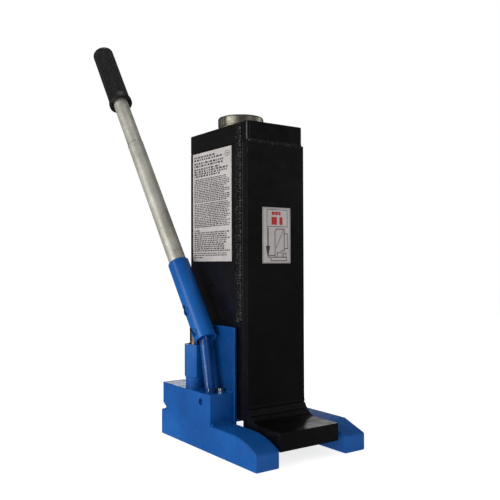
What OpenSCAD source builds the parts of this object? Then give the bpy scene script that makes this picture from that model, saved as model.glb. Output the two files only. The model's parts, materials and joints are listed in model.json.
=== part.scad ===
// Hydraulic toe jack: a hand-pumped machine lift with a low toe and a round top head.
// Frame: X to the right, Y to the rear, Z up. The origin is on the floor, under the ram's axis.

/* [Lifting housing] */
// Width of the housing and of the toe
housing_w = 100; // [98:0.5:101]
// Distance from the ram's axis to the housing's front face
housing_front = 89; // [88:0.5:91]
// Distance from the ram's axis to the housing's rear face
housing_rear = 70; // [69:0.5:70.5]
// Height of the folded housing's lower edge at rest
housing_bottom = 42; // [41.5:0.5:44]
// Height of the top plate's upper face at rest
housing_top = 460; // [450:1:470]
// Wall thickness of the folded sheet
wall_t = 8; // [7.5:0.1:8]
// Thickness of the front plate
front_t = 12; // [11:0.5:12]
// Thickness of the top plate
top_t = 28; // [24:1:30]
// Outer radius of the housing's rear corners
corner_r = 6; // [5:0.5:7]

/* [Toe] */
// Reach of the toe in front of the housing
toe_reach = 72; // [60:1:76]
// Height of the toe's load face at rest
toe_top = 42; // [40:1:44]
// Thickness of the toe
toe_t = 24; // [20:1:26]
// Radius between the front plate and the toe
toe_fillet = 27; // [22:1:30]

/* [Load head] */
// Diameter of the load head
head_d = 70; // [62:1:72]
// Height of the load head above the top plate
head_h = 23; // [18:1:26]

/* [Base] */
// Width of one leg
leg_w = 37; // [35:0.5:38]
// Height of the legs
leg_h = 38; // [37:0.5:38.5]
// Height of the legs' front face
leg_nose_h = 24; // [20:1:28]
// Distance from the ram's axis to the legs' front face
leg_front = 168; // [164:1:176]
// Distance from the ram's axis to the legs' rear face
leg_rear = 82; // [80:1:84]
// Distance from the middle plane to a leg's inner face
leg_inner = 56.7; // [56.5:0.1:57]
// Thickness of the bridge plate that joins the legs
bridge_t = 14; // [12:1:16]

/* [Guide frame] */
// Thickness of the guide plates
guide_t = 4; // [3.5:0.1:4]
// Height of the guide plates' upper edge
guide_top = 171; // [150:1:180]
// Distance from the ram's axis to the guide plates' front edge
guide_front = 65; // [60:1:66]

/* [Pump] */
// Height of the pump block's upper face
block_top = 79.5; // [78:0.5:81]
// Distance from the ram's axis to the pump block's front face
block_front = 59.5; // [58:0.5:62]
// Width across the corners of the pump cylinder's hexagon
hex_d = 36; // [34:0.5:36.5]
// Height of the pump cylinder's upper end
hex_top = 143; // [138:1:143]
// Diameter of the pump plunger
plunger_d = 17; // [16:0.5:17]
// Diameter of the link rod
link_d = 14; // [12:0.5:14]
// Diameter of the three linkage pins
pin_d = 10; // [9:0.5:10]

/* [Lever] */
// Angle between the lever and the vertical at rest
lever_tilt = 36.4; // [36:0.1:37]
// Outer diameter of the lever socket
socket_d = 32.4; // [32:0.1:32.6]
// Outer diameter of the lower lever tube
tube_d = 26.9; // [26.6:0.1:27]
// Outer diameter of the upper lever tube
upper_tube_d = 26; // [25.5:0.1:26.2]
// Distance along the lever from the fulcrum to the grip's outer end
lever_len = 621; // [600:1:640]
// Diameter of the grip
grip_d = 38; // [36:0.5:38.5]
// Length of the grip
grip_len = 142; // [130:1:150]

/* [Ram] */
// Lift of the housing
stroke = 200; // [150:5:200]
// Bore of the ram's cylinder
ram_bore = 48; // [47:0.5:49]
// Diameter of the piston rod
rod_d = 34; // [32:0.5:36]
// Outer diameter of the oil reservoir round the cylinder
reservoir_d = 76; // [75:0.5:77]

/* [Hidden] */

$fn = 64;
blue = "#1b58a5";
black = "#1a1a1c";
steel = "#b4b2a6";
bright = "#d0d0cc";
rubber = "#26262a";
paper = "#dcdad6";
brass = "#c8a24a";

slack = 0.3;                            // gap between faces that slide past each other
thread_gap = 0.1;                       // radial gap of a screwed joint
run_gap = 0.05;                         // radial gap of a pin in its eye
cap_bottom = housing_top - top_t;
inner_w = housing_w - 2 * wall_t;
inner_front = housing_front - front_t;
inner_rear = housing_rear - wall_t;
front_y = -housing_front;
toe_end = front_y - toe_reach;
toe_bottom = toe_top - toe_t;
toe_heel_r = 14;                        // outer radius under the bend of the front plate
rib_d = 2.4;                            // diameter of the grooves across the toe

nose_r = 110;                           // radius of the left leg's upper nose
bevel_len = 39;                         // length of the right leg's straight bevel
bridge_top = 40;
bridge_nose = 7;                        // thickness of the bridge plate at its front edge
bridge_front = 42;
bridge_slope = 25;                      // length of the sloping underside behind the front edge
bridge_rear = 72.2;
guide_x = leg_inner - guide_t / 2;
guide_rear = 55;                         // rear edge of the side guides
rear_guide_w = 80;                       // width of the guide behind the housing
guide_bottom = 18;

pump_x = -75;                           // plane of the pump and of the lever
pump_y = 10;
hex_turn = 4;                           // turn of the pump cylinder's hexagon when screwed home
block_side = 0.8;                       // the pump block stands back from the leg's outer face
block_rear = 77;
outer_x = -leg_inner - leg_w + block_side;
weld_depth = 5;                         // weld groove along the foot of the pump block's outer face
weld_height = 12;
neck_d = 29;
neck_bottom = 62;
hex_bottom = 96;
chamber_bottom = 58;
link_low = [pump_x, -33.5, 67];
fulcrum = [pump_x, -12.5, 161.5];
plunger_eye = [pump_x, pump_y, 190.5];
eye_w = 12;                             // width of the eyes on the link and the plunger
eye_d = 17;
plunger_eye_d = 20;
plunger_slack = 2.1;                    // radial play of the plunger's eye round its pin
link_slot_w = 15;
filler = [-62.1, -39];                  // place of the filler plug in the pump block's top
filler_r = 3;
release_x = -70;
release_z = 66;
release_r = 4;
release_depth = 22;                     // depth of the release valve's seat below the rear face
knob_gap = 6;                           // distance between the pump block and the release knob
knob_r = 9;
knob_len = 13;
valve_z = 50;
valve_y = [24, 34, 46];                 // seat, ball and spring of a valve along its gallery
gallery_r = 5;
ball_r = 4;
valve_x = [-81.5, -66.5];

socket_low = -12;                       // ends along the lever, measured from the fulcrum
socket_high = 124;
socket_step = 58;
socket_bore = 28;
slot_w = 20;
slot_end = 54;
spot_depth = 1.6;                       // depth of the flats under the pins' heads
head_t = 2.2;                           // thickness of the pins' heads
tube_joint = 378;
tube_overlap = 60;
tube_wall = 2.3;
tube_gap = 0.25;
collar_len = 17;

flange_w = 82;
flange_top = 56;
screw_pitch = 66;
screw_r = 5;
screw_low = 33.5;                       // lower end of the flange's screws
piston_bottom = 64;
piston_h = 24;
collar_bottom = 66;
collar_h = 16;
block_bottom = collar_bottom + collar_h + stroke + 2;
tube_top = block_bottom + 26;
gland_top = tube_top + 12;
head_stud_r = 12;                       // radius of the stud that joins the load head to the rod
label_t = 0.5;

// Box between two opposite corners
module span(low, high) {
  translate(low)
    cube(high - low);
}

// Cylinder along X between two places on an axis
module pin_x(place, x0, x1, d, sides = 64) {
  translate([x0, place[1], place[2]])
    rotate([0, 90, 0])
      cylinder(d = d, h = x1 - x0, $fn = sides);
}

// Profile in the Y-Z plane, extruded along X
module along_x(x0, x1) {
  translate([x0, 0, 0])
    rotate([90, 0, 90])
      linear_extrude(x1 - x0)
        children();
}

// The lever's own frame: its Z runs up the tubes' axis from the fulcrum
module on_lever() {
  translate(fulcrum)
    rotate([-lever_tilt, 0, 0])
      children();
}

// Tube along Z
module pipe(z0, z1, outer, inner) {
  translate([0, 0, z0])
    difference() {
      cylinder(d = outer, h = z1 - z0);
      translate([0, 0, -1])
        cylinder(d = inner, h = z1 - z0 + 2);
    }
}

// Round bar along Z with short chamfers at both ends
module bar(z0, z1, d, chamfer) {
  r = d / 2;
  translate([0, 0, z0])
    rotate_extrude()
      polygon([
        [0, 0], [r - chamfer, 0], [r, chamfer], [r, z1 - z0 - chamfer],
        [r - chamfer, z1 - z0], [0, z1 - z0]
      ]);
}

module left_leg() {
  color(blue)
    along_x(-leg_inner - leg_w, -leg_inner)
      union() {
        translate([-leg_front + 56, 0])
          square([leg_rear + leg_front - 56, leg_h]);
        intersection() {
          translate([-leg_front + 56, leg_h - nose_r])
            circle(r = nose_r);
          translate([-leg_front, 0])
            square([60, leg_h]);
        }
      }
}

module right_leg() {
  color(blue)
    along_x(leg_inner, leg_inner + leg_w)
      polygon([
        [-leg_front, 0], [leg_rear, 0], [leg_rear, leg_h],
        [-leg_front + bevel_len, leg_h], [-leg_front, leg_nose_h]
      ]);
}

// Plate between the side guides, thinned towards its front edge
module bridge_plate() {
  half_w = guide_x - guide_t / 2;
  color(blue)
    difference() {
      along_x(-half_w, half_w)
        polygon([
          [-bridge_front, bridge_top - bridge_nose], [-bridge_front, bridge_top],
          [bridge_rear, bridge_top], [bridge_rear, bridge_top - bridge_t],
          [bridge_slope - bridge_front, bridge_top - bridge_t]
        ]);
      flange_holes(screw_r, screw_low, bridge_top + 1);
    }
}

// Side plate with a clipped upper rear corner
module side_guide(x) {
  clip = 12;
  color(blue)
    along_x(x - guide_t / 2, x + guide_t / 2)
      polygon([
        [-guide_front, guide_bottom], [guide_rear, guide_bottom],
        [guide_rear, guide_top - clip], [guide_rear - clip, guide_top],
        [-guide_front, guide_top]
      ]);
}

module left_guide_plate() {
  side_guide(-guide_x);
}

module right_guide_plate() {
  side_guide(guide_x);
}

module rear_guide_plate() {
  color(blue)
    span([-rear_guide_w / 2, bridge_rear, guide_bottom],
         [rear_guide_w / 2, bridge_rear + guide_t, guide_top - 12]);
}

module pump_block() {
  color(blue)
    difference() {
      span([outer_x, -block_front, leg_h], [-leg_inner, block_rear, block_top]);
      // Weld groove along the foot of the outer face
      translate([0, block_rear + 1, 0])
        rotate([90, 0, 0])
          linear_extrude(block_front + block_rear + 2)
            polygon([
              [outer_x - 1, leg_h - 1], [outer_x + weld_depth, leg_h - 1],
              [outer_x + weld_depth, leg_h + 3], [outer_x - 1, leg_h + weld_height]
            ]);
      // Thread and chamber of the pump cylinder
      translate([pump_x, pump_y, neck_bottom])
        cylinder(d = neck_d + 2 * thread_gap, h = block_top);
      translate([pump_x, pump_y, chamber_bottom])
        cylinder(d = plunger_d + 3, h = block_top);
      // Slot and pin hole of the link
      span([pump_x - link_slot_w / 2, link_low[1] - 14, link_low[2] - eye_d / 2 - 2],
           [pump_x + link_slot_w / 2, link_low[1] + 14, block_top + 1]);
      pin_x(link_low, outer_x - 1, pump_x + 12, pin_d + 2 * run_gap);
      // Filler hole
      translate([filler[0], filler[1], block_top - 8])
        cylinder(r = filler_r + thread_gap, h = 9);
      // Valve galleries, from the rear face into the chamber
      for (x = valve_x) {
        translate([x, valve_y[0], valve_z])
          rotate([-90, 0, 0])
            cylinder(r = gallery_r, h = block_rear);
        translate([x, pump_y, valve_z])
          rotate([-90, 0, 0])
            cylinder(r = 2, h = block_rear - pump_y);
        translate([x, pump_y, valve_z - 2])
          cylinder(r = 2, h = chamber_bottom - valve_z + 3);
      }
      // Release valve's seat
      translate([release_x, block_rear - release_depth, release_z])
        rotate([-90, 0, 0])
          cylinder(r = release_r + thread_gap, h = release_depth + 1);
    }
}

module ram_flange() {
  color(steel)
    difference() {
      union() {
        span([-flange_w / 2, -flange_w / 2, bridge_top], [flange_w / 2, flange_w / 2, flange_top]);
        translate([0, 0, flange_top])
          cylinder(d = ram_bore - 2 * thread_gap, h = 6);
      }
      flange_holes(screw_r + run_gap, bridge_top - 1, flange_top + 1);
    }
}

// Four places on the corners of the flange's screw square
module flange_holes(r, z0, z1) {
  for (x = [-1, 1], y = [-1, 1])
    translate([x * screw_pitch / 2, y * screw_pitch / 2, z0])
      cylinder(r = r, h = z1 - z0);
}

module flange_screws() {
  color(steel)
    difference() {
      union() {
        flange_holes(screw_r, screw_low, flange_top + 1);
        flange_holes(screw_r + 2, flange_top, flange_top + 8);
      }
      for (x = [-1, 1], y = [-1, 1])
        translate([x * screw_pitch / 2, y * screw_pitch / 2, flange_top + 4])
          cylinder(r = 4.6, h = 5, $fn = 6);
    }
}

module ram_cylinder() {
  color(steel)
    pipe(flange_top, tube_top, ram_bore + 12, ram_bore);
}

module reservoir_tube() {
  color(steel)
    pipe(flange_top, tube_top, reservoir_d, reservoir_d - 7);
}

module ram_gland() {
  color(steel)
    difference() {
      union() {
        translate([0, 0, tube_top])
          cylinder(d = reservoir_d, h = gland_top - tube_top);
        translate([0, 0, tube_top - 18])
          cylinder(d = ram_bore - 2 * thread_gap, h = 19);
      }
      translate([0, 0, tube_top - 19])
        cylinder(d = rod_d + 2 * run_gap, h = 40);
      translate([0, 0, gland_top - 5])
        cylinder(d = rod_d + 8, h = 6);
    }
}

module rod_wiper() {
  color(rubber)
    pipe(gland_top - 5, gland_top - 0.5, rod_d + 7.9, rod_d + 0.6);
}

module guide_block() {
  half_w = inner_w / 2 - slack;
  color(brass)
    difference() {
      span([-half_w, -inner_front + slack, block_bottom],
           [half_w, inner_rear - slack, tube_top - 4]);
      translate([0, 0, block_bottom - 1])
        cylinder(d = reservoir_d, h = tube_top);
    }
}

module pump_cylinder() {
  color(blue)
    translate([pump_x, pump_y, 0])
      difference() {
        union() {
          translate([0, 0, hex_bottom])
            rotate([0, 0, hex_turn])
              cylinder(d = hex_d, h = hex_top - hex_bottom, $fn = 6);
          translate([0, 0, neck_bottom])
            cylinder(d = neck_d, h = hex_bottom - neck_bottom + 1);
        }
        translate([0, 0, neck_bottom - 1])
          cylinder(d = plunger_d + 2 * run_gap, h = hex_top);
        translate([0, 0, hex_top - 6])
          cylinder(d = plunger_d + 6, h = 7);
        // Thread relief grooves below the hexagon
        for (z = [82:3.2:91.6])
          translate([0, 0, z])
            difference() {
              cylinder(d = neck_d + 2, h = 1.2);
              translate([0, 0, -1])
                cylinder(d = neck_d - 1.6, h = 4);
            }
      }
}

module pump_seal() {
  color(rubber)
    translate([pump_x, pump_y, 0])
      pipe(hex_top - 6, hex_top - 1.5, plunger_d + 5.9, plunger_d + 0.6);
}

module filler_plug() {
  color(brass)
    translate([filler[0], filler[1], block_top])
      union() {
        translate([0, 0, -7])
          cylinder(r = filler_r, h = 8);
        cylinder(r = filler_r + 1.6, h = 4, $fn = 6);
      }
}

module link_bottom_pin() {
  color(steel)
    pin_x(link_low, outer_x + 4, pump_x + 11, pin_d);
}

module valve_balls() {
  color(bright)
    for (x = valve_x)
      translate([x, valve_y[0] + sqrt(ball_r * ball_r - 4), valve_z])
        sphere(r = ball_r);
}

// Wire spring along Z: a square-section tube swept round a helix
module wire_spring(coil_r, wire_r, length, turns) {
  steps = 12;
  count = turns * steps;
  rings = [for (i = [0:count])
    for (k = [0:5])
      let (a = 360 * i / steps, b = 60 * k, r = coil_r + wire_r * cos(b))
        [r * cos(a), r * sin(a), length * i / count + wire_r * sin(b)]];
  sides = [for (i = [0:count - 1])
    for (k = [0:5])
      let (p = 6 * i + k, q = 6 * i + (k + 1) % 6)
        [p, q, q + 6, p + 6]];
  start = [[for (k = [5:-1:0]) k]];
  finish = [[for (k = [0:5]) 6 * count + k]];
  polyhedron(points = rings, faces = concat(sides, start, finish), convexity = 6);
}

module valve_springs() {
  color(steel)
    for (x = valve_x)
      translate([x, valve_y[1] + 1, valve_z])
        rotate([-90, 0, 0])
          wire_spring(3.4, 0.5, 14, 5);
}

module valve_plugs() {
  color(steel)
    for (x = valve_x)
      translate([x, 0, valve_z])
        rotate([-90, 0, 0])
          difference() {
            union() {
              translate([0, 0, valve_y[2] + 4])
                cylinder(r = gallery_r - thread_gap, h = block_rear - valve_y[2] - 4);
              translate([0, 0, block_rear])
                cylinder(r = gallery_r + 1, h = 3);
            }
            translate([0, 0, block_rear - 3])
              cylinder(r = 3.5, h = 7, $fn = 6);
          }
}

module release_spindle() {
  color(steel)
    translate([release_x, block_rear - release_depth, release_z])
      rotate([-90, 0, 0])
        union() {
          translate([0, 0, 4])
            cylinder(r = release_r, h = release_depth + knob_gap + 6);
          translate([0, 0, 0.3])
            cylinder(r1 = 1, r2 = release_r, h = 3.8);
        }
}

module release_knob() {
  color(black)
    translate([release_x, block_rear + knob_gap, release_z])
      rotate([-90, 0, 0])
        difference() {
          cylinder(r = knob_r, h = knob_len);
          translate([0, 0, -1])
            cylinder(r = release_r, h = 11);
          for (a = [0:30:330])
            rotate([0, 0, a])
              translate([knob_r + 0.7, 0, -1])
                cylinder(r = 1.5, h = knob_len + 2, $fn = 24);
        }
}

// Outline of the front plate and its bent toe, in the Y-Z plane
module toe_outline() {
  difference() {
    union() {
      translate([front_y, toe_bottom])
        square([front_t, cap_bottom - toe_bottom]);
      translate([toe_end, toe_bottom])
        square([toe_reach + front_t, toe_t]);
      translate([front_y - toe_fillet, toe_top])
        square(toe_fillet);
    }
    translate([front_y - toe_fillet, toe_top + toe_fillet])
      circle(r = toe_fillet);
    translate([-inner_front - toe_heel_r, toe_bottom])
      difference() {
        square([toe_heel_r + 1, toe_heel_r]);
        translate([0, toe_heel_r])
          circle(r = toe_heel_r);
      }
    // Grooves across the fillet and the toe
    for (a = [20, 42, 64])
      translate([front_y - toe_fillet, toe_top + toe_fillet])
        rotate(-a)
          translate([toe_fillet + rib_d / 3, 0])
            circle(d = rib_d);
    for (y = [8, 17])
      translate([front_y - toe_fillet - y, toe_top + rib_d / 3])
        circle(d = rib_d);
  }
}

module front_plate() {
  color(black)
    along_x(-housing_w / 2, housing_w / 2)
      toe_outline();
}

module folded_housing() {
  color(black)
    translate([0, 0, housing_bottom])
      linear_extrude(cap_bottom - housing_bottom)
        difference() {
          union() {
            translate([-housing_w / 2, -inner_front])
              square([housing_w, inner_front + housing_rear - corner_r]);
            for (side = [-1, 1])
              translate([side * (housing_w / 2 - corner_r), housing_rear - corner_r])
                circle(r = corner_r);
            translate([-housing_w / 2 + corner_r, 0])
              square([housing_w - 2 * corner_r, housing_rear]);
          }
          translate([-inner_w / 2, -inner_front - 1])
            square([inner_w, inner_front + inner_rear + 1]);
        }
}

// Plate with rounded corners, slightly narrower than the housing on the right
module top_plate() {
  right = housing_w / 2 - 1.3;
  front_r = 5;
  color(black)
    difference() {
      translate([0, 0, cap_bottom])
        linear_extrude(top_t)
          union() {
            translate([-housing_w / 2, front_y + front_r])
              square([right + housing_w / 2, housing_front + housing_rear - corner_r - front_r]);
            translate([-housing_w / 2 + front_r, front_y])
              square([right + housing_w / 2 - 2 * front_r, 2 * front_r]);
            translate([-housing_w / 2 + corner_r, 0])
              square([right + housing_w / 2 - 2 * corner_r, housing_rear]);
            for (x = [-housing_w / 2 + front_r, right - front_r])
              translate([x, front_y + front_r])
                circle(r = front_r);
            for (x = [-housing_w / 2 + corner_r, right - corner_r])
              translate([x, housing_rear - corner_r])
                circle(r = corner_r);
          }
      translate([0, 0, cap_bottom - 1])
        cylinder(r = head_stud_r, h = top_t + 2);
    }
}

module load_head() {
  r = head_d / 2;
  z0 = housing_top;
  color(bright)
    union() {
      translate([0, 0, z0])
        rotate_extrude()
          polygon([
            [0, 0], [r - 1.5, 0], [r, 1.5], [r, head_h - 2.5], [r - 2.5, head_h], [0, head_h]
          ]);
      translate([0, 0, z0 - top_t - 20])
        cylinder(r = head_stud_r - thread_gap, h = top_t + 21);
    }
}

module piston_rod() {
  color(bright)
    difference() {
      bar(piston_bottom + piston_h, cap_bottom, rod_d, 0.8);
      translate([0, 0, cap_bottom - 22])
        cylinder(r = head_stud_r, h = 23);
    }
}

module piston() {
  color(steel)
    difference() {
      translate([0, 0, piston_bottom])
        cylinder(d = ram_bore - 2 * run_gap, h = piston_h);
      translate([0, 0, piston_bottom + 8])
        pipe(0, 7, ram_bore + 2, ram_bore - 8);
    }
}

module piston_seal() {
  color(rubber)
    pipe(piston_bottom + 8, piston_bottom + 15, ram_bore - 0.6, ram_bore - 8);
}

module guide_collar() {
  color(brass)
    difference() {
      span([-inner_w / 2, -inner_front, collar_bottom],
           [inner_w / 2, inner_rear, collar_bottom + collar_h]);
      translate([0, 0, collar_bottom - 1])
        cylinder(d = reservoir_d + 2 * slack, h = collar_h + 2);
    }
}

module instruction_label() {
  color(paper)
    span([-housing_w / 2 - label_t, -49.5, 264], [-housing_w / 2, 58.5, 430]);
}

module capacity_label() {
  color(paper)
    span([-24.8, front_y - label_t, 261], [24.8, front_y, 340]);
}

// Rod with an eye at each end, between two points in the pump's plane
module link_rod() {
  run = fulcrum - link_low;
  lean = atan2(run[1], run[2]);
  reach = norm(run);
  color(blue)
    difference() {
      union() {
        translate(link_low)
          rotate([-lean, 0, 0])
            translate([0, 0, 4])
              cylinder(d = link_d, h = reach - 8);
        for (eye = [link_low, fulcrum])
          pin_x(eye, pump_x - eye_w / 2, pump_x + eye_w / 2, eye_d);
      }
      for (eye = [link_low, fulcrum])
        pin_x(eye, pump_x - eye_w, pump_x + eye_w, pin_d + 2 * run_gap);
    }
}

module lever_socket() {
  color(blue)
    difference() {
      on_lever()
        difference() {
          translate([0, 0, socket_low])
            cylinder(d = socket_d, h = socket_high - socket_low);
          translate([0, 0, socket_step])
            cylinder(d = tube_d + 2 * tube_gap, h = socket_high);
          translate([0, 0, socket_low - 1])
            cylinder(d = tube_d - 2 * tube_wall, h = socket_high);
          translate([0, 0, socket_low - 1])
            cylinder(d = socket_bore, h = slot_end - socket_low);
          // Slot for the plunger and the link, through the lower rear wall
          span([-slot_w / 2, 0, socket_low - 1], [slot_w / 2, socket_d, slot_end]);
        }
      for (place = [fulcrum, plunger_eye]) {
        pin_x(place, pump_x - socket_d, pump_x + socket_d, pin_d);
        // Flat under the pin's head
        pin_x(place, pump_x - socket_d, pump_x - socket_d / 2 + spot_depth, pin_d + 3);
      }
    }
}

// Headed pin across the socket
module socket_pin(place) {
  seat = pump_x - socket_d / 2 + spot_depth;
  pin_x(place, seat, pump_x + socket_d / 2 - 0.4, pin_d);
  pin_x(place, seat - head_t, seat, pin_d + 2);
}

module link_top_pin() {
  color(steel)
    socket_pin(fulcrum);
}

module plunger_pin() {
  color(steel)
    socket_pin(plunger_eye);
}

module pin_cotters() {
  color(steel)
    for (place = [fulcrum, plunger_eye])
      translate([pump_x - socket_d / 2 + spot_depth - head_t - 0.8, place[1], place[2]])
        rotate([lever_tilt, 0, 0])
          translate([0, 0, -8])
            cylinder(d = 1.6, h = 16, $fn = 16);
}

module pump_plunger() {
  color(bright)
    difference() {
      union() {
        translate([pump_x, pump_y, chamber_bottom + 22])
          cylinder(d = plunger_d, h = plunger_eye[2] - chamber_bottom - 22);
        pin_x(plunger_eye, pump_x - eye_w / 2, pump_x + eye_w / 2, plunger_eye_d);
      }
      pin_x(plunger_eye, pump_x - 20, pump_x + 20, pin_d + 2 * plunger_slack);
    }
}

module lower_lever_tube() {
  color(steel)
    on_lever()
      pipe(socket_step, tube_joint, tube_d, tube_d - 2 * tube_wall);
}

// Upper tube with a reduced end that plugs into the lower tube
module upper_lever_tube() {
  spigot_d = tube_d - 2 * tube_wall - 2 * tube_gap;
  color(steel)
    on_lever()
      difference() {
        union() {
          translate([0, 0, tube_joint])
            cylinder(d = upper_tube_d, h = lever_len - 8 - tube_joint);
          translate([0, 0, tube_joint - tube_overlap])
            cylinder(d = spigot_d, h = tube_overlap + 1);
        }
        translate([0, 0, tube_joint - tube_overlap - 1])
          cylinder(d = spigot_d - 2 * tube_wall, h = lever_len);
      }
}

// Rubber grip with a rounded end and a flanged collar
module lever_grip() {
  r = grip_d / 2;
  collar_r = r + 1.6;
  edge_r = 5;
  color(rubber)
    on_lever()
      translate([0, 0, lever_len - grip_len])
        difference() {
          rotate_extrude()
            union() {
              square([collar_r, 4]);
              translate([0, 4])
                square([r + 0.8, collar_len - 4]);
              square([r, grip_len - edge_r]);
              square([r - edge_r, grip_len]);
              translate([r - edge_r, grip_len - edge_r])
                circle(r = edge_r);
            }
          translate([0, 0, -1])
            cylinder(d = upper_tube_d, h = grip_len - 7);
        }
}

left_leg();
right_leg();
bridge_plate();
left_guide_plate();
right_guide_plate();
rear_guide_plate();
pump_block();
ram_flange();
flange_screws();
ram_cylinder();
reservoir_tube();
ram_gland();
guide_block();
rod_wiper();
pump_cylinder();
pump_seal();
filler_plug();
link_bottom_pin();
valve_balls();
valve_springs();
valve_plugs();
release_spindle();
release_knob();
front_plate();
folded_housing();
top_plate();
load_head();
piston_rod();
piston();
piston_seal();
guide_collar();
instruction_label();
capacity_label();
link_rod();
link_top_pin();
lever_socket();
plunger_pin();
pin_cotters();
pump_plunger();
lower_lever_tube();
upper_lever_tube();
lever_grip();
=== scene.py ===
"""Hydraulic toe jack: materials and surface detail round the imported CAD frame."""

import json
import math
import random

import bmesh
import bpy
from mathutils import Matrix, Vector, noise


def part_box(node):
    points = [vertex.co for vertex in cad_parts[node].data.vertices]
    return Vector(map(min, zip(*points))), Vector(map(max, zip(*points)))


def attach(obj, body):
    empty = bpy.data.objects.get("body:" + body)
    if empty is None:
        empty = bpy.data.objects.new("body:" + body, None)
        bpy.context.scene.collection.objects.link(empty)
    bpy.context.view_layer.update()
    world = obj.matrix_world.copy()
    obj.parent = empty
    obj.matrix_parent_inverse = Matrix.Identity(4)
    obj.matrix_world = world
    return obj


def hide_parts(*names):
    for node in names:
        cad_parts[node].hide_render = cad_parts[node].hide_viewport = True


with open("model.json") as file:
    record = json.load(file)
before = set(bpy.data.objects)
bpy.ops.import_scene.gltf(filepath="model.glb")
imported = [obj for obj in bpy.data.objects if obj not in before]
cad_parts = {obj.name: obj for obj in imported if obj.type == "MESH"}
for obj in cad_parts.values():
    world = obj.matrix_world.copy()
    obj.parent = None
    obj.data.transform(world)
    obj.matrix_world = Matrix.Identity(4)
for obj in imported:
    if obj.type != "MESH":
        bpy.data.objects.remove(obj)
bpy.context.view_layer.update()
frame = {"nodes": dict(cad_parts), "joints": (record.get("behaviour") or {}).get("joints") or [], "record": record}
NODES = frame["nodes"]
RECORD = frame["record"]
MM = 0.001

# ---------------------------------------------------------------- the lever's own frame
JOINTS = {joint["name"]: joint for joint in frame["joints"]}
FULCRUM = Vector(JOINTS["lever_pump"]["pos_m"])
UP_LEVER = Vector(JOINTS["handle_draw"]["axis"]).normalized()
SIDE = Vector((1, 0, 0))
UNDER = Vector((0, UP_LEVER.z, -UP_LEVER.y))    # square to the lever, on its rear underside
TILT = Matrix((SIDE, UNDER, UP_LEVER)).transposed().to_4x4()


def box_mm(node):
    """Corners of a node's box in millimetres."""
    return [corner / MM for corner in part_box(node)]


def span_in(node, space):
    """Corners of a node's box along the axes of another space."""
    inverse = space.inverted()
    points = [inverse @ v.co for v in NODES[node].data.vertices]
    low = Vector([min(p[i] for p in points) for i in range(3)])
    high = Vector([max(p[i] for p in points) for i in range(3)])
    return low, high


PIVOT = Matrix.Translation(FULCRUM) @ TILT
tube_low, tube_high = span_in("lower_lever_tube", PIVOT)
LEVER = PIVOT @ Matrix.Translation((0, (tube_low.y + tube_high.y) / 2, 0))    # Z along the tube


# ---------------------------------------------------------------- materials
class Finish:
    """A node material whose textures are laid out in the row frame."""

    def __init__(self, name, **sockets):
        self.material = bpy.data.materials.new(name)
        self.material.use_nodes = True
        self.tree = self.material.node_tree
        self.shader = self.tree.nodes["Principled BSDF"]
        coords = self.tree.nodes.new("ShaderNodeTexCoord")
        self.coords = coords.outputs["Object"]
        for socket, value in sockets.items():
            self.shader.inputs[socket.replace("_", " ")].default_value = value

    def ramp(self, source, stops):
        """Colour ramp over (place, colour) stops."""
        node = self.tree.nodes.new("ShaderNodeValToRGB")
        elements = node.color_ramp.elements
        while len(elements) < len(stops):
            elements.new(0.5)
        for element, (place, colour) in zip(elements, stops):
            element.position = place
            element.color = (*colour, 1)
        self.tree.links.new(source, node.inputs["Fac"])
        return node.outputs["Color"]

    def spread(self, source, low, high, to_low, to_high):
        """A field with the range low to high mapped to another range."""
        node = self.tree.nodes.new("ShaderNodeMapRange")
        for name, value in (("From Min", low), ("From Max", high),
                            ("To Min", to_low), ("To Max", to_high)):
            node.inputs[name].default_value = value
        self.tree.links.new(source, node.inputs["Value"])
        return node.outputs["Result"]

    def blend(self, factor, first, second):
        """Mix of two colours, each a linked output or a plain colour."""
        node = self.tree.nodes.new("ShaderNodeMix")
        node.data_type = "RGBA"
        colour_a, colour_b, mixed = node.inputs[6], node.inputs[7], node.outputs[2]
        self.tree.links.new(factor, node.inputs["Factor"])
        for socket, value in ((colour_a, first), (colour_b, second)):
            if isinstance(value, tuple):
                socket.default_value = (*value, 1)
            else:
                self.tree.links.new(value, socket)
        return mixed

    def bump_chain(self, fields):
        """One normal from (field, strength, distance in metres) layers."""
        normal = None
        for field, strength, distance in fields:
            node = self.tree.nodes.new("ShaderNodeBump")
            node.inputs["Strength"].default_value = strength
            node.inputs["Distance"].default_value = distance
            self.tree.links.new(field, node.inputs["Height"])
            if normal:
                self.tree.links.new(normal, node.inputs["Normal"])
            normal = node.outputs["Normal"]
        return normal

    def noise(self, scale, detail=3.0, roughness=0.55, stretch=None):
        """Noise in waves per metre; stretch scales the three axes first."""
        coords = self.coords
        if stretch:
            mapping = self.tree.nodes.new("ShaderNodeMapping")
            mapping.inputs["Scale"].default_value = stretch
            self.tree.links.new(coords, mapping.inputs["Vector"])
            coords = mapping.outputs["Vector"]
        node = self.tree.nodes.new("ShaderNodeTexNoise")
        node.inputs["Scale"].default_value = scale
        node.inputs["Detail"].default_value = detail
        node.inputs["Roughness"].default_value = roughness
        self.tree.links.new(coords, node.inputs["Vector"])
        return node.outputs["Fac"]

    def ribs(self, scale, full, gone):
        """Wavy ridges along X low on a piece, which fade out between two heights in metres."""
        waves = self.noise(scale, detail=2, stretch=(0.03, 1, 1))
        split = self.tree.nodes.new("ShaderNodeSeparateXYZ")
        self.tree.links.new(self.coords, split.inputs[0])
        fade = self.spread(split.outputs["Z"], full, gone, 0, 1)
        return self.blend(fade, waves, (0.5, 0.5, 0.5))

    def link(self, socket, source):
        """Drives a socket of the shader with a field."""
        self.tree.links.new(source, self.shader.inputs[socket])


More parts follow.
